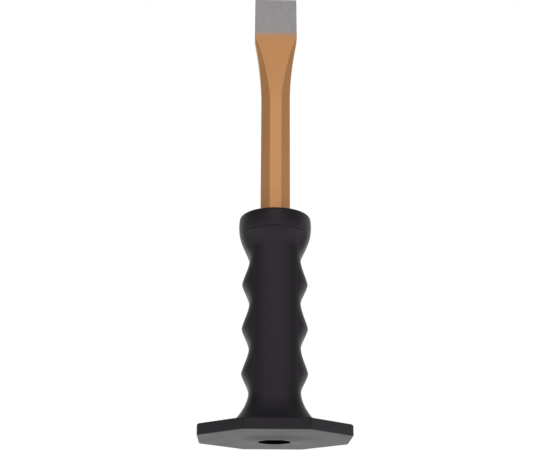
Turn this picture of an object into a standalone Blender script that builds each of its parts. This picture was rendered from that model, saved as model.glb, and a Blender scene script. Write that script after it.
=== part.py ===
"""Cold chisel with a push-on hand guard, standing on the guard with its blade up.

The chisel is one steel forging: an octagonal bar with a chamfered striking head, which flares and
thins into a flat blade with a ground cutting edge. The guard is one soft moulding: a sleeve with
finger grooves, a round collar and an octagonal plate, with an octagonal bore that slides on the bar.

Metres, +Z up the axis, +X across the blade. The origin is the middle of the face that it stands on.
"""

import math

import bmesh
import bpy
from mathutils import Matrix

MM = 0.001
OCTAGON = math.tan(math.radians(22.5))  # half of a flat's length over half the width across flats

# Chisel
BAR = 16 * MM  # across flats
LENGTH = 250 * MM
HEAD_Z = 7.7 * MM  # the struck face, up inside the guard
TIP_Z = HEAD_Z + LENGTH
HEAD_FACE = 0.7  # width of the struck face, as a share of the bar's
HEAD_CROWN = 0.4 * MM
HEAD_CHAMFER = 3.5 * MM  # its length along the bar
FLARE_START = 191.5 * MM
FLARE_END = 230.5 * MM
BLADE_WIDTH = 24.2 * MM  # at the end of the flare
EDGE_WIDTH = 24.0 * MM  # along the cutting edge
GRIND_START = 255.8 * MM  # where the cutting bevels begin
GRIND_THICKNESS = 2.4 * MM  # blade thickness there
EDGE_FLAT = 0.25 * MM
PAINT_END = 233.6 * MM  # bare steel above
BLADE_CORNER = 0.3 * MM  # chamfer left on the blade's long edges

# Hand guard
PLATE = 79.3 * MM  # across flats
PLATE_LOW, PLATE_HIGH = 1.2 * MM, 7.5 * MM
PLATE_EDGE = 1.0 * MM
BOSS_WIDE, BOSS_NARROW = 16.5 * MM, 10.5 * MM  # radii of the low cone round the mouth of the bore
BORE = BAR + 0.6 * MM
CUT_BEYOND = 5 * MM  # how far the bore's cutter runs past both ends
CORE_X, CORE_Y = 13.8 * MM, 13.5 * MM  # half the sleeve's width and depth at a groove
CORE_SQUARENESS = 4.0  # exponent of the sleeve's outline: 2 is an ellipse, and more is squarer
CORE_CROWN = 0.08
RIDGE = 3.7 * MM  # how far a finger ridge stands out at each side
RIDGE_DEPTH = 10.5 * MM  # half its length, front to back
RIDGES = (35.4 * MM, 59.6 * MM, 83.9 * MM)
GROOVES = (24.9 * MM, 48.5 * MM, 73.0 * MM, 97.2 * MM)
FLARE_TOP = 25.5 * MM  # below this the sleeve spreads onto the plate
FLARE_REACH = 10.5 * MM
COLLAR = 19.7 * MM  # radius
COLLAR_WIDEST = 117 * MM
COLLAR_LIP = 112 * MM  # lower edge of the collar's wall, front and back
COLLAR_TOP = 122.8 * MM
COLLAR_ROUND = 1.6 * MM  # radius of its top edge
COLLAR_DRAFT = 0.6 * MM  # how much narrower it is at the start of that edge
COVE_END = 98.5 * MM

AROUND = 48  # points round the sleeve
ROUND_STEPS = 3  # in the collar's rounded top edge


def clear_scene():
    for old in list(bpy.data.objects):
        bpy.data.objects.remove(old, do_unlink=True)


def new_collection(name):
    made = bpy.data.collections.new(name)
    bpy.context.scene.collection.children.link(made)
    return made


def material(name, colour, roughness, metallic):
    made = bpy.data.materials.new(name)
    made.use_nodes = True
    shader = made.node_tree.nodes["Principled BSDF"]
    shader.inputs["Base Color"].default_value = (*colour, 1)
    shader.inputs["Roughness"].default_value = roughness
    shader.inputs["Metallic"].default_value = metallic
    return made


def add_object(name, mesh_maker, collection):
    """A new object at the origin, whose mesh is what mesh_maker leaves in a bmesh."""
    shape = bmesh.new()
    mesh_maker(shape)
    bmesh.ops.recalc_face_normals(shape, faces=shape.faces)
    mesh = bpy.data.meshes.new(name)
    shape.to_mesh(mesh)
    shape.free()
    made = bpy.data.objects.new(name, mesh)
    collection.objects.link(made)
    return made


def helper(name, mesh_maker, collection):
    """An object that only shapes another one."""
    made = add_object(name, mesh_maker, collection)
    made.hide_render = True
    made.display_type = "WIRE"
    return made


def boolean(target, other, operation):
    cut = target.modifiers.new(f"{operation.lower()} {other.name}", "BOOLEAN")
    cut.operation = operation
    cut.object = other


def loft(shape, sections):
    """Skins closed outlines of equal length, lowest first, and caps both ends."""
    rings = [[shape.verts.new(point) for point in section] for section in sections]
    count = len(rings[0])
    for low, high in zip(rings, rings[1:]):
        for i in range(count):
            j = (i + 1) % count
            shape.faces.new((low[i], low[j], high[j], high[i]))
    shape.faces.new(reversed(rings[0]))
    shape.faces.new(rings[-1])


def share(value, start, end):
    """How far value has come from start to end, from 0 to 1."""
    return min(1, max(0, (value - start) / (end - start)))


def smooth(s):
    return s * s * (3 - 2 * s)


def mix(a, b, s):
    return a + (b - a) * s


def spread(start, end, count):
    """Evenly spaced values from start up to, but not including, end."""
    return [mix(start, end, i / count) for i in range(count)]


# ---- chisel


def chamfered_box(half_x, half_y, cut_x, cut_y, z):
    """Eight corners, from the front flat round to the left."""
    front = [(-half_x + cut_x, -half_y), (half_x - cut_x, -half_y)]
    right = [(half_x, -half_y + cut_y), (half_x, half_y - cut_y)]
    back = [(half_x - cut_x, half_y), (-half_x + cut_x, half_y)]
    left = [(-half_x, half_y - cut_y), (-half_x, -half_y + cut_y)]
    return [(x, y, z) for x, y in front + right + back + left]


def octagon(across, z):
    half = across / 2
    cut = half * (1 - OCTAGON)
    return chamfered_box(half, half, cut, cut, z)


def half_thickness(z):
    """The wedge, from the bar down to where the cutting bevels start."""
    return mix(BAR, GRIND_THICKNESS, share(z, FLARE_START, GRIND_START)) / 2


def blade_section(z):
    flare = share(z, FLARE_START, FLARE_END)
    half_x = mix(BAR, BLADE_WIDTH, flare**1.8) / 2
    half_x -= (BLADE_WIDTH - EDGE_WIDTH) / 2 * share(z, FLARE_END, TIP_Z)
    half_y = half_thickness(z)
    bar_cut = BAR / 2 * (1 - OCTAGON)
    cut_x = mix(BLADE_CORNER, bar_cut, (1 - flare) ** 0.65)
    cut_y = max(BLADE_CORNER, half_y - BAR / 2 * OCTAGON)
    return chamfered_box(half_x, half_y, cut_x, cut_y, z)


def chisel_mesh(shape):
    flare = FLARE_END - FLARE_START
    heights = [FLARE_START + flare * s for s in spread(0, 0.85, 14) + spread(0.85, 1, 8)]
    heights += [FLARE_END, PAINT_END, GRIND_START]
    sections = [
        octagon(BAR * HEAD_FACE * 0.5, HEAD_Z),
        octagon(BAR * HEAD_FACE, HEAD_Z + HEAD_CROWN),
        octagon(BAR, HEAD_Z + HEAD_CHAMFER),
    ]
    sections += [blade_section(z) for z in heights]
    half_edge = EDGE_WIDTH / 2
    corner = EDGE_FLAT / 4
    sections.append(chamfered_box(half_edge, EDGE_FLAT / 2, BLADE_CORNER, corner, TIP_Z))
    loft(shape, sections)
    for face in shape.faces:
        face.material_index = int(face.calc_center_median().z > PAINT_END)


def make_chisel(parts):
    chisel = add_object("chisel_body", chisel_mesh, parts)
    chisel.data.materials.append(material("gold_lacquer", (0.50, 0.24, 0.10), 0.42, 0.55))
    chisel.data.materials.append(material("ground_steel", (0.45, 0.44, 0.43), 0.45, 1.0))


# ---- hand guard


def eight_sided_bar(shape, across, low, high):
    """Flats face front, back, left and right."""
    radius = across / 2 / math.cos(math.pi / 8)
    turn = Matrix.Rotation(math.pi / 8, 3, "Z")
    bmesh.ops.create_cone(
        shape, cap_ends=True, segments=8, radius1=radius, radius2=radius, depth=high - low
    )
    bmesh.ops.rotate(shape, verts=shape.verts, matrix=turn)
    bmesh.ops.translate(shape, verts=shape.verts, vec=(0, 0, (low + high) / 2))


def plate_mesh(shape):
    eight_sided_bar(shape, PLATE, PLATE_LOW, PLATE_HIGH)
    bmesh.ops.bevel(shape, geom=shape.edges, offset=PLATE_EDGE, segments=3, profile=0.5, affect="EDGES")


def bore_mesh(shape):
    eight_sided_bar(shape, BORE, -CUT_BEYOND, COLLAR_TOP + CUT_BEYOND)


def boss_mesh(shape):
    """A low cone whose narrow end is the face that the whole tool stands on."""
    bmesh.ops.create_cone(
        shape,
        cap_ends=True,
        segments=AROUND,
        radius1=BOSS_NARROW,
        radius2=mix(BOSS_NARROW, BOSS_WIDE, 2),
        depth=2 * PLATE_LOW,
    )
    bmesh.ops.translate(shape, verts=shape.verts, vec=(0, 0, PLATE_LOW))


def ridge_share(z):
    """How much of a finger ridge's full width shows at this height: 0 in a groove, 1 on a ridge."""
    if not GROOVES[0] < z < GROOVES[-1]:
        return 0
    for low, ridge, high in zip(GROOVES, RIDGES, GROOVES[1:]):
        if z <= high:
            s = share(z, low, ridge) if z < ridge else share(z, high, ridge)
            return 0.6 * smooth(s) + 0.4 * s**1.5


def core_point(turn, z):
    """The sleeve between flare and collar: a squarish outline with ridges on its two sides."""
    c, s = math.cos(turn), math.sin(turn)
    power = CORE_SQUARENESS
    reach = (abs(c / CORE_X) ** power + abs(s / CORE_Y) ** power) ** (-1 / power)
    x, y = reach * c, reach * s
    y *= 1 - CORE_CROWN * (x / CORE_X) ** 2
    stand_out = RIDGE * ridge_share(z) * max(0, 1 - (y / RIDGE_DEPTH) ** 2)
    return x + math.copysign(stand_out, x), y


def flare_point(turn, z):
    """The foot of the sleeve, which grows rounder as it spreads."""
    x, y = core_point(turn, z)
    drop = share(z, FLARE_TOP, PLATE_HIGH)
    grow = FLARE_REACH * drop**1.95
    round_x = (CORE_X + grow) * math.cos(turn)
    round_y = (CORE_Y + grow) * math.sin(turn)
    size = math.hypot(x, y)
    x, y = x * (1 + grow / size), y * (1 + grow / size)
    return mix(x, round_x, drop), mix(y, round_y, drop)


def collar_radius(z):
    return COLLAR - COLLAR_DRAFT * share(z, COLLAR_WIDEST, COLLAR_TOP - COLLAR_ROUND) ** 2


def collar_point(turn, z):
    """Round at the top. Below it is a hollow cove under a crisp lip at front and back, and a full
    curve at the sides."""
    x, y = core_point(turn, z)
    cove = share(z, COVE_END, COLLAR_LIP) ** 2.2
    curve = 1 - (1 - share(z, GROOVES[-1], COLLAR_WIDEST) ** 1.4) ** 2.6
    side = smooth(share(abs(math.cos(turn)), 0.62, 0.90))
    grown = mix(cove, curve, side)
    radius = collar_radius(z)
    return mix(x, radius * math.cos(turn), grown), mix(y, radius * math.sin(turn), grown)


def around(point_at, z, lift=0):
    """An outline at one height, or the same one lifted."""
    turns = [math.tau * i / AROUND for i in range(AROUND)]
    return [(*point_at(turn, z), z + lift) for turn in turns]


def shoulder_sections():
    """The rounded top edge of the collar, up to its flat top."""
    start = COLLAR_TOP - COLLAR_ROUND
    for step in range(ROUND_STEPS + 1):
        lean = math.pi / 2 * step / ROUND_STEPS
        size = 1 - COLLAR_ROUND * (1 - math.cos(lean)) / collar_radius(start)
        rise = COLLAR_ROUND * math.sin(lean)
        yield [(x * size, y * size, z + rise) for x, y, z in around(collar_point, start)]


def sleeve_mesh(shape):
    bends = [GROOVES[0]]
    for ridge, groove in zip(RIDGES, GROOVES[1:]):
        bends += [ridge, groove]
    grip = [z for low, high in zip(bends, bends[1:]) for z in spread(low, high, 6)]
    collar = spread(GROOVES[-1], COLLAR_LIP, 10) + spread(COLLAR_LIP, COLLAR_TOP - COLLAR_ROUND, 4)
    inside_plate = (PLATE_LOW - PLATE_HIGH) / 2
    sections = [around(flare_point, PLATE_HIGH, lift=inside_plate)]
    sections += [around(flare_point, z) for z in spread(PLATE_HIGH, FLARE_TOP, 8)]
    sections += [around(core_point, z) for z in grip if z >= FLARE_TOP]
    sections += [around(collar_point, z) for z in collar]
    sections += shoulder_sections()
    loft(shape, sections)


def make_guard(parts, helpers):
    guard = add_object("hand_guard", plate_mesh, parts)
    guard.data.materials.append(material("guard_rubber", (0.025, 0.025, 0.027), 0.45, 0.0))
    boolean(guard, helper("sleeve", sleeve_mesh, helpers), "UNION")
    boolean(guard, helper("boss", boss_mesh, helpers), "UNION")
    boolean(guard, helper("bore_cutter", bore_mesh, helpers), "DIFFERENCE")


def main():
    clear_scene()
    parts = new_collection("cold_chisel")
    helpers = new_collection("cutters")
    helpers.hide_render = True
    make_chisel(parts)
    make_guard(parts, helpers)


main()
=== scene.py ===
"""The looks of a cold chisel in its push-on hand guard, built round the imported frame.

Metres, in the frame's axes: +Z up the chisel, +X across the blade, and -Y towards the camera. Two fine
meshes stand for the two CAD nodes: the forged chisel, and the moulded guard that slides on it.
"""

import math

import bpy
from mathutils import Matrix, Vector, noise


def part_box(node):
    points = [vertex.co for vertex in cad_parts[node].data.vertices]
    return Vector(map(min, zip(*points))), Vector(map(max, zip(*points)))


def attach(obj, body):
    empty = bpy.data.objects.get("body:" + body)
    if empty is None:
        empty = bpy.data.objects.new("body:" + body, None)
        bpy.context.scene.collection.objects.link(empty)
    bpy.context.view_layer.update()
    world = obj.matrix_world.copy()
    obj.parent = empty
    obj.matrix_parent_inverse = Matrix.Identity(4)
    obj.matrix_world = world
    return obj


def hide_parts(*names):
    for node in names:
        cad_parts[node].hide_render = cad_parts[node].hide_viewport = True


MM = 0.001
FLAT = math.tan(math.pi / 8)  # an octagon's flat over its width across flats

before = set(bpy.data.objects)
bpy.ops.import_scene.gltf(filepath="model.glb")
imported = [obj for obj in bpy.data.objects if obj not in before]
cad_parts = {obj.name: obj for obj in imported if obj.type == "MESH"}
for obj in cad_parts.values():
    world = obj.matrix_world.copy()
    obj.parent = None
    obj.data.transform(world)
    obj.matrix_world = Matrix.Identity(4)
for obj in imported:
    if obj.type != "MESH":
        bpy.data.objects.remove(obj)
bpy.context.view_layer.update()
chisel_low, chisel_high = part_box("chisel_body")
guard_low, guard_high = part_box("hand_guard")

# Chisel
BAR = 16 * MM  # across flats
HEAD_Z, TIP_Z = chisel_low.z, chisel_high.z
BLADE_WIDTH = chisel_high.x - chisel_low.x
EDGE_WIDTH = 24 * MM
FLARE_START = 191.5 * MM
FLARE_END = FLARE_START + 39 * MM
FLARE_CURVE = 1.8  # exponent of its widening
FACET_CURVE = 0.65  # exponent of how its corner facets narrow
WEDGE_SOFTNESS = 3 * MM  # how gradually the bar starts to thin
GRIND_LENGTH = 1.9 * MM  # of the cutting bevels
GRIND_START = TIP_Z - GRIND_LENGTH
GRIND_THICKNESS = 2.4 * MM
EDGE_FLAT = 0.2 * MM
BAR_ROUND = 0.55 * MM  # radius of the bar's long edges
BLADE_ROUND = 0.35 * MM
BLADE_SHARPENING = 0.6  # share of that radius which is gone past the paint
THIN_ROUND = 0.4  # share of half the thickness that it may take up
HEAD_RADIUS = 5.6 * MM  # of the struck face
HEAD_SLOPE = 0.85  # how fast the turned chamfer widens
HEAD_BEND = 0.25 * MM  # softness of the chamfer's edges
HEAD_CROWN = 0.4 * MM
PAINT_END = 233.6 * MM
PAINT_FADE = 5.2 * MM
LACQUER = 0.09 * MM
HOLLOW, HOLLOW_SIZE = 0.02 * MM, 9 * MM  # mean depth and spacing of the hollows that forging leaves
DENT, DENT_SIZE = 0.006 * MM, 2.5 * MM
HEAD_PLAIN, HEAD_FORGED = 6 * MM, 16 * MM  # from the head, where hollows and coat start and are whole
TIP_PLAIN, TIP_FORGED = 8 * MM, 20 * MM  # the same, from the tip

# Hand guard
TOP_Z = guard_high.z
PLATE = guard_high.x - guard_low.x  # across flats
PLATE_LOW, PLATE_HIGH = 1.2 * MM, 7.5 * MM
RIM_HIGH = 7.2 * MM  # where the plate's slightly sloping upper face ends
RIM_UPPER_ROUND, RIM_LOWER_ROUND = 1.1 * MM, 0.5 * MM  # radii of its edges
PLATE_CORNER = 2.4 * MM  # radius of its eight corners
UPPER_STEPS = (0.08, 0.25, 0.5, 0.75, 0.92)  # where rings cross its upper face, from sleeve to edge
LOWER_STEPS = (0.06, 0.3, 0.6, 0.85, 0.95)  # and its lower face, from edge to boss
BOSS_WIDE, BOSS_NARROW = 20 * MM, 9.4 * MM  # radii of the low cone round the bore's mouth
BOSS_HIGH = 1.15 * MM
BORE = BAR + 0.36 * MM  # across flats
BORE_CORNER = 0.7 * MM
BORE_REACH = 10 * MM  # radius that holds the bore's surface and nothing of the outside
MOUTH_ROUND = 0.15 * MM
CORE_X, CORE_Y = 13.75 * MM, 13.5 * MM  # half the sleeve's width and depth in a groove
CORE_SQUARENESS = 4.0  # exponent of the outline: 2 is an ellipse, and more is squarer
CORE_CROWN = 0.08  # share by which front and back draw in towards the sides
RIDGE = 3.95 * MM
RIDGE_DEPTH = 10.5 * MM  # half the depth over which a ridge runs round the side
RIDGE_SHARPNESS = 0.4  # 0 is a smooth wave, and 1 has sharp peaks
RIDGES = (35.4 * MM, 59.6 * MM, 83.9 * MM)
GROOVES = (24.9 * MM, 48.5 * MM, 73.0 * MM, 97.2 * MM)
FOOT_TOP = 25.5 * MM  # below this the sleeve spreads onto the plate
FOOT_REACH = 10.5 * MM
FOOT_CURVE = 1.85  # exponent of its spreading
FOOT_FILLET = 2.0 * MM
FOOT_ROUNDNESS = 0.6  # of its outline at the plate: 0 is as square as the sleeve, and 1 is round
COLLAR = 19.7 * MM
COLLAR_WIDEST = 117 * MM
COLLAR_LIP = 112 * MM
COLLAR_ROUND, COLLAR_INSET = 2.7 * MM, 3.35 * MM  # height and width of its rounded top edge
COLLAR_DRAFT = 0.25 * MM  # how far its wall draws in towards the top
COLLAR_SIDES = 0.72, 0.95  # how far to the side, as |x| over the radius, the cove fades and has gone
COLLAR_CURVE = 1.4, 2.6  # exponents of the curve there, near the grip and near the widest part
LIP_TUCK = 0.8 * MM  # how far the wall draws in towards the lip
CREASE, CREASE_WIDTH = 0.55 * MM, 0.45 * MM  # depth and half width of the groove under the lip
CREASE_STEEPNESS = 1.2  # more than 1 gives it a flat floor
CREASE_STEPS = (1.2, 1, 0.2, -0.2, -1, -1.2)  # heights of the rings across it, in half widths
EDGE_GAP = 0.8 * MM  # from the collar's top edge and from its lip to the next ring
COVE_END = 103 * MM
COVE_CURVE = 1.7  # exponent of the cove's hollow

# Colours, linear
PAINT_DEEP, PAINT_BRIGHT = (0.53, 0.247, 0.095, 1), (0.63, 0.316, 0.132, 1)
PAINT_WARM = (0.67, 0.31, 0.108, 1)
STEEL_DARK, STEEL_LIGHT = (0.33, 0.313, 0.313, 1), (0.43, 0.408, 0.408, 1)
STEEL_STAIN = (0.31, 0.292, 0.296, 1)
# The ground bevel's lighter steel colour is a painted highlight along the cutting edge.
STEEL_BEVEL_HIGHLIGHT = (0.74, 0.71, 0.71, 1)
PLASTIC_DEEP, PLASTIC_WORN = (0.0060, 0.0046, 0.0064, 1), (0.0080, 0.0062, 0.0086, 1)
# The bore's darker colour is painted shade deep in the bore, not a colour of the plastic.
PLASTIC_BORE_PAINTED_SHADE = (0.0022, 0.0018, 0.0022, 1)
PLASTIC_TINT = (1.0, 0.94, 1.0, 1)  # of what it reflects
PLASTIC_SHINE = 0.37
WHITE, FLOOR_GREY = (1, 1, 1, 1), (0.85, 0.85, 0.85, 1)

# Camera and stage
CAMERA_AT = (-15.7 * MM, -589.7 * MM, -76.7 * MM)
CAMERA_RISE = math.radians(18.29)
CAMERA_SWING = math.radians(1.52)
CAMERA_ROLL = math.radians(0.19)
LENS = 73.98  # mm, on a sensor 36 mm wide
# A light of the world: its direction, the cosines to it where it starts and is full, and its strength
WALL_LIGHT = (0.15, 1, -0.1), -0.05, 0.6, 0.76
FRONT_LIGHT = (0, -1, 0.3), 0.6, 0.98, 0.10
HIGH_LIGHT = (0, -1, 1.25), 0.78, 0.97, 0.54
BASE_LIGHT = 0.46
OVERHEAD_LIGHT = 0.32  # share of the base and the wall that is left straight above
OVERHEAD_FADE = -0.1, 0.9  # height of a direction, 1 being straight up, where the loss starts and is whole
LAMP_AT, LAMP_TARGET = (0.05, -1.5, 0.75), (0, 0, 0.13)
LAMP_SIZE, LAMP_WATTS = 0.9, 2
FLOOR_Z = -0.30
FLOOR_RADIUS = 6.0
FLOOR_NEAR, FLOOR_FAR = 0.4, 2.2  # radii where the pale floor starts to fade and is white
FLOOR_GLOW = 0.6


# ---- numbers


def share(value, start, end):
    """How far value has come from start to end, from 0 to 1."""
    return min(1, max(0, (value - start) / (end - start)))


def smooth(s):
    return s * s * (3 - 2 * s)


def mix(a, b, s):
    return a + (b - a) * s


def spread(start, end, count):
    """Evenly spaced values from start up to, but not including, end."""
    return [mix(start, end, i / count) for i in range(count)]


def soft_ramp(distance, softness):
    """0 well below zero and distance well above it, with a smooth bend between."""
    return (distance + math.hypot(distance, softness)) / 2


def wander(point, size):
    """Slow unevenness between -1 and 1 that changes over about size."""
    return noise.noise(Vector(point) / size)


# ---- outlines and skins


def rounded(corners, radius, arc_points, flat_points):
    """A convex outline with its corners rounded, and points spread along its flats. No corner takes up
    more than 0.45 of a flat."""
    count = len(corners)
    arcs = []
    for i, corner in enumerate(corners):
        before = corners[i - 1] - corner
        after = corners[(i + 1) % count] - corner
        bend = math.pi - before.angle(after)
        cut = min(radius * math.tan(bend / 2), 0.45 * before.length, 0.45 * after.length)
        start = corner + before.normalized() * cut
        end = corner + after.normalized() * cut
        arcs.append([arc_point(start, corner, end, bend, s / (arc_points - 1)) for s in range(arc_points)])
    points = []
    for i, arc in enumerate(arcs):
        following = arcs[(i + 1) % count][0]
        points += arc
        points += [arc[-1].lerp(following, s / (flat_points + 1)) for s in range(1, flat_points + 1)]
    return points


def arc_point(start, corner, end, bend, s):
    """On the circle that touches both sides of a corner at start and end."""
    weight = math.cos(bend / 2)
    a, b, c = (1 - s) ** 2, 2 * s * (1 - s) * weight, s**2
    return (start * a + corner * b + end * c) / (a + b + c)


def chamfered_box(half_x, half_y, cut_x, cut_y):
    """Eight corners, counterclockwise from the front flat's left end."""
    corners = [
        (-half_x + cut_x, -half_y),
        (half_x - cut_x, -half_y),
        (half_x, -half_y + cut_y),
        (half_x, half_y - cut_y),
        (half_x - cut_x, half_y),
        (-half_x + cut_x, half_y),
        (-half_x, half_y - cut_y),
        (-half_x, -half_y + cut_y),
    ]
    return [Vector(corner) for corner in corners]


def at_height(outline, z):
    return [(x, y, z) for x, y in outline]


def skin(name, rings, ends):
    """One closed surface through rings of points. Its ends are capped, or joined to each other."""
    count = len(rings[0])
    points = [point for ring in rings for point in ring]
    pairs = list(zip(range(len(rings)), range(1, len(rings))))
    if ends == "joined":
        pairs.append((len(rings) - 1, 0))
    faces = []
    for low, high in pairs:
        for i in range(count):
            j = (i + 1) % count
            faces.append((low * count + i, low * count + j, high * count + j, high * count + i))
    if ends == "capped":
        for ring, first, step in ((rings[0], 0, -1), (rings[-1], (len(rings) - 1) * count, 1)):
            middle = len(points)
            points.append([sum(values) / count for values in zip(*ring)])
            faces += [(first + i, first + (i + step) % count, middle) for i in range(count)]
    mesh = bpy.data.meshes.new(name)
    mesh.from_pydata(points, [], faces)
    mesh.shade_smooth()
    made = bpy.data.objects.new(name, mesh)
    bpy.context.scene.collection.objects.link(made)
    weighted = made.modifiers.new("flats stay flat", "WEIGHTED_NORMAL")
    weighted.weight = 100
    return made


# ---- chisel


def blade_outline(z):
    """The bar, which flares and thins into the blade."""
    flare = share(z, FLARE_START, FLARE_END)
    half_x = mix(BAR, BLADE_WIDTH, flare**FLARE_CURVE) / 2
    half_x -= (BLADE_WIDTH - EDGE_WIDTH) / 2 * share(z, FLARE_END, TIP_Z)
    slope = (BAR - GRIND_THICKNESS) / 2 / (GRIND_START - FLARE_START)
    half_y = BAR / 2 - slope * soft_ramp(z - FLARE_START, WEDGE_SOFTNESS)
    if z > GRIND_START:
        half_y = mix(GRIND_THICKNESS, EDGE_FLAT, (z - GRIND_START) / GRIND_LENGTH) / 2
    bar_cut = BAR / 2 * (1 - FLAT)
    blade_round = BLADE_ROUND * (1 - BLADE_SHARPENING * share(z, FLARE_END, PAINT_END + PAINT_FADE))
    cut_x = mix(blade_round, bar_cut, (1 - flare) ** FACET_CURVE)
    thin_round = min(blade_round, half_y * THIN_ROUND)
    cut_y = max(thin_round, half_y - BAR / 2 * FLAT)
    edge_round = mix(BAR_ROUND, blade_round, flare)
    return rounded(chamfered_box(half_x, half_y, cut_x, cut_y), edge_round, 5, 6)


def turned_head(outline, z):
    """Cuts the outline back to the chamfer that was turned on the struck end."""
    limit = HEAD_RADIUS + (z - HEAD_Z - HEAD_CROWN) * HEAD_SLOPE
    kept = []
    for point in outline:
        over = soft_ramp(point.length - limit, HEAD_BEND)
        kept.append(point * (1 - over / point.length))
    return kept


def forged(ring):
    """Slight hollows that the forging leaves, and the lacquer over them. Both stop short of the ends."""
    finished = []
    for x, y, z in ring:
        hollow = HOLLOW * (1 + wander((x, y, z), HOLLOW_SIZE)) + DENT * (1 + wander((x, y, z), DENT_SIZE))
        grow = LACQUER * share(z, PAINT_END, PAINT_END - PAINT_FADE) - hollow
        grow *= share(z, HEAD_Z + HEAD_PLAIN, HEAD_Z + HEAD_FORGED)
        grow *= share(z, TIP_Z - TIP_PLAIN, TIP_Z - TIP_FORGED)
        size = math.hypot(x, y)
        finished.append((x * (1 + grow / size), y * (1 + grow / size), z))
    return finished


def chisel_rings():
    """From the struck face up to the cutting edge, closer together where the shape changes."""
    forged_start = HEAD_Z + HEAD_PLAIN
    bar_top = FLARE_START - 10 * MM
    for s in spread(0.15, 1, 6):
        ring = [point * s for point in turned_head(blade_outline(HEAD_Z), HEAD_Z + HEAD_CROWN)]
        yield at_height(ring, HEAD_Z + HEAD_CROWN * s**3)
    for z in spread(HEAD_Z + HEAD_CROWN, forged_start, 22):
        yield at_height(turned_head(blade_outline(z), z), z)
    heights = spread(forged_start, bar_top, 90) + spread(bar_top, FLARE_END, 70)
    heights += spread(FLARE_END, GRIND_START, 24)
    for z in heights:
        yield forged(at_height(blade_outline(z), z))
    for z in spread(GRIND_START, TIP_Z, 6) + [TIP_Z]:
        yield at_height(blade_outline(z), z)


def make_chisel():
    chisel = skin("chisel", list(chisel_rings()), "capped")
    chisel.data.materials.append(chisel_material())
    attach(chisel, "chisel")
    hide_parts("chisel_body")


# ---- hand guard


def eight_sided(across, corner):
    cut = across / 2 * (1 - FLAT)
    return rounded(chamfered_box(across / 2, across / 2, cut, cut), corner, 6, 19)


def plate_outline(inset):
    return eight_sided(PLATE - 2 * inset, PLATE_CORNER)


def bore_outline(widening):
    return eight_sided(BORE + 2 * widening, BORE_CORNER + widening)


# The directions of the plate's points, which the round outlines and the sleeve share
TURNS = [math.atan2(y, x) for x, y in plate_outline(0)]


def circle(radius):
    return [Vector((radius * math.cos(turn), radius * math.sin(turn))) for turn in TURNS]


def between(outline_a, outline_b, s):
    """Part of the way from one outline to another with as many points."""
    return [a.lerp(b, s) for a, b in zip(outline_a, outline_b)]


def ridge_share(z):
    """How much of a finger ridge's width shows at this height: 0 in a groove, 1 on a ridge."""
    for low, ridge, high in zip(GROOVES, RIDGES, GROOVES[1:]):
        if low < z <= high:
            s = share(z, low, ridge) if z < ridge else share(z, high, ridge)
            return (1 - RIDGE_SHARPNESS) * smooth(s) + RIDGE_SHARPNESS * s**1.5
    return 0


def core_point(turn, z):
    """The sleeve between foot and collar: a squarish outline with ridges on its two sides."""
    c, s = math.cos(turn), math.sin(turn)
    power = CORE_SQUARENESS
    reach = (abs(c / CORE_X) ** power + abs(s / CORE_Y) ** power) ** (-1 / power)
    x, y = reach * c, reach * s
    y *= 1 - CORE_CROWN * (x / CORE_X) ** 2
    stand_out = RIDGE * ridge_share(z) * max(0, 1 - (y / RIDGE_DEPTH) ** 2)
    return Vector((x + math.copysign(stand_out, x), y))


def foot_point(turn, z):
    """The foot of the sleeve, which grows rounder as it spreads."""
    core = core_point(turn, z)
    drop = share(z, FOOT_TOP, PLATE_HIGH)
    fillet = FOOT_FILLET * share(z, PLATE_HIGH + FOOT_FILLET, PLATE_HIGH) ** 3
    grow = FOOT_REACH * drop**FOOT_CURVE + fillet
    round_point = Vector(((CORE_X + grow) * math.cos(turn), (CORE_Y + grow) * math.sin(turn)))
    return (core * (1 + grow / core.length)).lerp(round_point, FOOT_ROUNDNESS * drop)


def collar_point(turn, z):
    """Round at the top. Below it is a hollow cove under a creased lip at front and back, and a full
    curve at the sides."""
    cove = share(z, COVE_END, COLLAR_LIP) ** COVE_CURVE
    near_grip, near_widest = COLLAR_CURVE
    curve = 1 - (1 - share(z, GROOVES[-1], COLLAR_WIDEST) ** near_grip) ** near_widest
    side = smooth(share(abs(math.cos(turn)), *COLLAR_SIDES))
    tuck = LIP_TUCK * share(z, COLLAR_WIDEST, COLLAR_LIP) ** 2
    tuck += CREASE * min(1, CREASE_STEEPNESS * share(abs(z - COLLAR_LIP), CREASE_WIDTH, 0))
    radius = COLLAR - COLLAR_DRAFT * share(z, COLLAR_WIDEST, TOP_Z - COLLAR_ROUND) ** 2 - tuck * (1 - side)
    wall = Vector((radius * math.cos(turn), radius * math.sin(turn)))
    return core_point(turn, z).lerp(wall, mix(cove, curve, side))


def sleeve_outline(z):
    if z < FOOT_TOP:
        return [foot_point(turn, z) for turn in TURNS]
    if z < GROOVES[-1]:
        return [core_point(turn, z) for turn in TURNS]
    return [collar_point(turn, z) for turn in TURNS]


def edge_steps(radius, count):
    """(inset, drop) down round a convex edge, from its flat top to its upright side."""
    for i in range(count + 1):
        lean = math.pi / 2 * i / count
        yield radius * (1 - math.sin(lean)), radius * (1 - math.cos(lean))


def sleeve_rings():
    """Down the outside, from the collar's top edge to the plate."""
    shoulder = TOP_Z - COLLAR_ROUND
    for inset, drop in edge_steps(COLLAR_ROUND, 6):
        size = 1 - inset * COLLAR_INSET / COLLAR_ROUND / COLLAR
        yield at_height([point * size for point in sleeve_outline(shoulder)], TOP_Z - drop)
    heights = spread(shoulder - EDGE_GAP, COLLAR_LIP + CREASE_STEPS[0] * CREASE_WIDTH, 9)
    heights += [COLLAR_LIP + s * CREASE_WIDTH for s in CREASE_STEPS]
    heights += spread(COLLAR_LIP - EDGE_GAP, GROOVES[-1], 24)
    bends = sorted(GROOVES + RIDGES, reverse=True)
    for high, low in zip(bends, bends[1:]):
        heights += spread(high, low, 18)
    heights += spread(GROOVES[0], PLATE_HIGH, 34) + [PLATE_HIGH]
    for z in heights:
        yield at_height(sleeve_outline(z), z)


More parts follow.
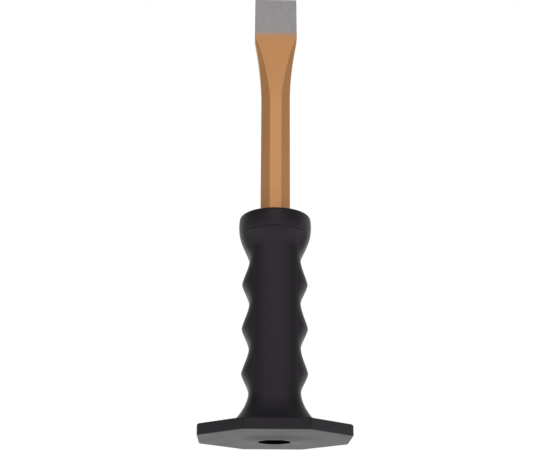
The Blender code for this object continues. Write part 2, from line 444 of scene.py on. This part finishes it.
def plate_rings():
    """From the sleeve's foot over the plate's edge to the boss. Both faces slope a little."""
    foot, top = sleeve_outline(PLATE_HIGH), plate_outline(RIM_UPPER_ROUND)
    for s in UPPER_STEPS:
        yield at_height(between(foot, top, s), mix(PLATE_HIGH, RIM_HIGH, s))
    for inset, drop in edge_steps(RIM_UPPER_ROUND, 6):
        yield at_height(plate_outline(inset), RIM_HIGH - drop)
    for inset, drop in reversed(list(edge_steps(RIM_LOWER_ROUND, 4))):
        yield at_height(plate_outline(inset), PLATE_LOW + drop)
    bottom, boss = plate_outline(RIM_LOWER_ROUND), circle(BOSS_WIDE)
    for s in LOWER_STEPS:
        yield at_height(between(bottom, boss, s), mix(PLATE_LOW, BOSS_HIGH, s))


def boss_rings():
    """The low cone round the mouth, and the mouth's rounded edge."""
    for s in spread(0, 1, 12) + [1]:
        yield at_height(circle(mix(BOSS_WIDE, BOSS_NARROW, s)), BOSS_HIGH * (1 - mix(s, smooth(s), 0.5)))
    yield at_height(between(circle(BOSS_NARROW), bore_outline(MOUTH_ROUND), 0.6), 0)
    for widening, rise in edge_steps(MOUTH_ROUND, 4):
        yield at_height(bore_outline(widening), rise)


def guard_rings():
    """Round the guard's wall: up the bore, over the collar, down the outside and back to the mouth."""
    rings = [at_height(bore_outline(0), z) for z in (3 * MM, 12 * MM, 60 * MM, 110 * MM)]
    for widening, drop in reversed(list(edge_steps(MOUTH_ROUND, 4))):
        rings.append(at_height(bore_outline(widening), TOP_Z - drop))
    rim = [point * (1 - COLLAR_INSET / COLLAR) for point in sleeve_outline(TOP_Z - COLLAR_ROUND)]
    for s in (0.1, 0.5, 0.9):
        rings.append(at_height(between(bore_outline(MOUTH_ROUND), rim, s), TOP_Z))
    return rings + list(sleeve_rings()) + list(plate_rings()) + list(boss_rings())


def make_guard():
    """The rings are taken backwards, which turns the faces outwards."""
    guard = skin("guard", guard_rings()[::-1], "joined")
    guard.data.materials.append(guard_material())
    guard.data.materials.append(bore_painted_shade_material())
    # Faces inside the bore take the second material, whose darker colour is painted shade.
    for face in guard.data.polygons:
        between_mouths = MOUTH_ROUND < face.center.z < TOP_Z - MOUTH_ROUND
        face.material_index = int(between_mouths and face.center.xy.length < BORE_REACH)
    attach(guard, "guard")
    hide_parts("hand_guard")


# ---- materials


def add(tree, kind, inputs=None, **settings):
    """A shader node whose inputs are given as values or as other nodes' outputs."""
    made = tree.nodes.new("ShaderNode" + kind)
    for name, value in settings.items():
        setattr(made, name, value)
    for name, value in (inputs or {}).items():
        if isinstance(value, bpy.types.NodeSocket):
            tree.links.new(value, made.inputs[name])
        else:
            made.inputs[name].default_value = value
    return made


def new_material(name):
    """A material, its shader, and a point in the piece's own metres."""
    made = bpy.data.materials.new(name)
    made.use_nodes = True
    tree = made.node_tree
    shader = tree.nodes["Principled BSDF"]
    place = add(tree, "TexCoord").outputs["Object"]
    return made, tree, shader, place


def grain(tree, place, size, detail=2.0, stretch=(1, 1, 1)):
    """Noise between 0 and 1 whose features are about size across, before stretching."""
    scale = tuple(1 / size / s for s in stretch)
    moved = add(tree, "VectorMath", {0: place, 1: scale}, operation="MULTIPLY").outputs[0]
    return add(tree, "TexNoise", {"Vector": moved, "Scale": 1.0, "Detail": detail}).outputs["Fac"]


def remap(tree, value, low, high, start=0.0, end=1.0, interpolation="LINEAR"):
    """low where value is start or less, high where it is end or more, and between them in between."""
    inputs = {"Value": value, "From Min": start, "From Max": end, "To Min": low, "To Max": high}
    return add(tree, "MapRange", inputs, interpolation_type=interpolation).outputs["Result"]


def calculate(tree, operation, *values):
    return add(tree, "Math", dict(enumerate(values)), operation=operation).outputs[0]


def blend_value(tree, s, a, b):
    return add(tree, "Mix", {"Factor": s, 2: a, 3: b}, data_type="FLOAT").outputs[0]


def blend_vector(tree, s, a, b):
    return add(tree, "Mix", {"Factor": s, 4: a, 5: b}, data_type="VECTOR").outputs[1]


def blend_colour(tree, s, a, b):
    """a and b are other nodes' outputs, or (red, green, blue, 1)."""
    return add(tree, "Mix", {"Factor": s, 6: a, 7: b}, data_type="RGBA").outputs[2]


def bump(tree, height, depth, normal=None):
    inputs = {"Height": height, "Distance": depth, "Strength": 1.0}
    if normal:
        inputs["Normal"] = normal
    return add(tree, "Bump", inputs).outputs["Normal"]


def chisel_material():
    """Copper-gold metallic lacquer, which ends in a soft edge below the bare ground tip."""
    made, tree, shader, place = new_material("lacquered_steel")
    height = add(tree, "SeparateXYZ", {0: place}).outputs["Z"]
    ragged = remap(tree, grain(tree, place, 1.5 * MM), -0.4 * MM, 0.4 * MM)
    start, end = PAINT_END - PAINT_FADE / 2, PAINT_END + PAINT_FADE / 2
    bare = remap(tree, calculate(tree, "ADD", height, ragged), 0, 1, start, end, "SMOOTHSTEP")

    flakes = remap(tree, grain(tree, place, 0.35 * MM, 3.0), 0, 1, 0.35, 0.65)
    clouds = grain(tree, place, 5 * MM)
    paint = blend_colour(tree, flakes, PAINT_DEEP, PAINT_BRIGHT)
    paint = blend_colour(tree, remap(tree, clouds, 0, 0.25), paint, PAINT_WARM)

    marks = remap(tree, grain(tree, place, 0.2 * MM, 3.0, stretch=(16, 1, 1)), 0, 1, 0.3, 0.7)
    stains = remap(tree, grain(tree, place, 1.3 * MM, 3.0, stretch=(1, 1, 1.6)), 0, 0.45, 0.38, 0.62)
    steel = blend_colour(tree, marks, STEEL_DARK, STEEL_LIGHT)
    steel = blend_colour(tree, stains, steel, STEEL_STAIN)
    # The bevel is painted lighter steel: a painted highlight along the cutting edge.
    bevel = remap(tree, height, 0, 1, GRIND_START - 0.1 * MM, GRIND_START + 0.1 * MM)
    steel = blend_colour(tree, bevel, steel, STEEL_BEVEL_HIGHLIGHT)
    tree.links.new(blend_colour(tree, bare, paint, steel), shader.inputs["Base Color"])

    paint_roughness = remap(tree, clouds, 0.36, 0.46)
    steel_roughness = remap(tree, marks, 0.38, 0.52)
    tree.links.new(blend_value(tree, bare, paint_roughness, steel_roughness), shader.inputs["Roughness"])
    tree.links.new(blend_value(tree, bare, 0.55, 1.0), shader.inputs["Metallic"])

    peel = bump(tree, grain(tree, place, 1.1 * MM), 0.03 * MM)
    peel = bump(tree, grain(tree, place, 0.3 * MM), 0.006 * MM, peel)
    ground = bump(tree, marks, 0.006 * MM)
    tree.links.new(blend_vector(tree, bare, peel, ground), shader.inputs["Normal"])
    return made


def guard_material():
    """Black soft plastic, satin, with the fine grain of a moulding."""
    made, tree, shader, place = new_material("soft_black_moulding")
    shader.inputs["Specular IOR Level"].default_value = PLASTIC_SHINE
    shader.inputs["Specular Tint"].default_value = PLASTIC_TINT
    clouds = grain(tree, place, 14 * MM, 3.0)
    colour = blend_colour(tree, clouds, PLASTIC_DEEP, PLASTIC_WORN)
    tree.links.new(colour, shader.inputs["Base Color"])
    tree.links.new(remap(tree, clouds, 0.40, 0.52), shader.inputs["Roughness"])
    soft = bump(tree, grain(tree, place, 3 * MM), 0.03 * MM)
    tree.links.new(bump(tree, grain(tree, place, 0.35 * MM, 3.0), 0.03 * MM, soft), shader.inputs["Normal"])
    return made


def bore_painted_shade_material():
    """The same plastic, smooth as its core left it. Its darker colour is painted shade deep in the bore."""
    made, _, shader, _ = new_material("smooth_bore_painted_shade")
    shader.inputs["Base Color"].default_value = PLASTIC_BORE_PAINTED_SHADE
    shader.inputs["Roughness"].default_value = 0.15
    shader.inputs["Specular IOR Level"].default_value = PLASTIC_SHINE
    return made


# ---- camera, light and floor


def make_camera():
    data = bpy.data.cameras.new("camera")
    data.lens = LENS
    data.clip_start = 0.01
    camera = bpy.data.objects.new("camera", data)
    camera.location = CAMERA_AT
    turn = Matrix.Rotation(-CAMERA_SWING, 3, "Z") @ Matrix.Rotation(math.pi / 2 + CAMERA_RISE, 3, "X")
    camera.rotation_euler = (turn @ Matrix.Rotation(CAMERA_ROLL, 3, "Z")).to_euler()
    bpy.context.scene.collection.objects.link(camera)
    bpy.context.scene.camera = camera


def make_lamp():
    """One soft lamp, above the camera."""
    data = bpy.data.lights.new("lamp", "AREA")
    data.size = LAMP_SIZE
    data.energy = LAMP_WATTS
    lamp = bpy.data.objects.new("lamp", data)
    lamp.location = LAMP_AT
    aim = Vector(LAMP_TARGET) - Vector(LAMP_AT)
    lamp.rotation_euler = aim.to_track_quat("-Z", "Y").to_euler()
    bpy.context.scene.collection.objects.link(lamp)


def add_light(tree, direction, light, others):
    """The strength of others with one light of the world added, which fades out round its direction."""
    towards, start, end, strength = light
    aim = Vector(towards).normalized()
    facing = add(tree, "VectorMath", {0: direction, 1: aim}, operation="DOT_PRODUCT").outputs["Value"]
    shape = remap(tree, facing, 0, 1, start, end, "SMOOTHSTEP")
    return calculate(tree, "MULTIPLY_ADD", shape, strength, others)


def make_world():
    """White to the eye all round. As light it is dim, darker overhead, and has a bright wall behind the
    tool and two soft lights in front of it, one of them high up."""
    world = bpy.data.worlds.new("studio")
    bpy.context.scene.world = world
    world.use_nodes = True
    tree = world.node_tree
    direction = add(tree, "TexCoord").outputs["Generated"]
    height = add(tree, "SeparateXYZ", {0: direction}).outputs["Z"]
    overhead = remap(tree, height, 1.0, OVERHEAD_LIGHT, *OVERHEAD_FADE, "SMOOTHSTEP")
    glow = calculate(tree, "MULTIPLY", add_light(tree, direction, WALL_LIGHT, BASE_LIGHT), overhead)
    glow = add_light(tree, direction, FRONT_LIGHT, glow)
    glow = add_light(tree, direction, HIGH_LIGHT, glow)
    seen = add(tree, "LightPath").outputs["Is Camera Ray"]
    background = tree.nodes["Background"]
    background.inputs["Color"].default_value = WHITE
    tree.links.new(blend_value(tree, seen, glow, 1.0), background.inputs["Strength"])


def make_floor():
    """Pale near the tool, and fading to the white of the world far from it."""
    bpy.ops.mesh.primitive_circle_add(vertices=96, radius=FLOOR_RADIUS, fill_type="NGON")
    floor = bpy.context.object
    floor.name = "floor"
    floor.location.z = FLOOR_Z
    made, tree, shader, place = new_material("pale_floor")
    shader.inputs["Base Color"].default_value = FLOOR_GREY
    shader.inputs["Roughness"].default_value = 0.9
    shader.inputs["Emission Color"].default_value = WHITE
    shader.inputs["Emission Strength"].default_value = FLOOR_GLOW
    away = add(tree, "VectorMath", {0: place}, operation="LENGTH").outputs["Value"]
    far = remap(tree, away, 0, 1, FLOOR_NEAR, FLOOR_FAR, "SMOOTHSTEP")
    white = add(tree, "Emission", {"Strength": 1.0}).outputs[0]
    surface = add(tree, "MixShader", {0: far, 1: shader.outputs[0], 2: white}).outputs[0]
    tree.links.new(surface, tree.nodes["Material Output"].inputs["Surface"])
    floor.data.materials.append(made)


def main():
    bpy.context.scene.view_settings.view_transform = "Standard"
    make_camera()
    make_lamp()
    make_world()
    make_floor()
    make_chisel()
    make_guard()


main()
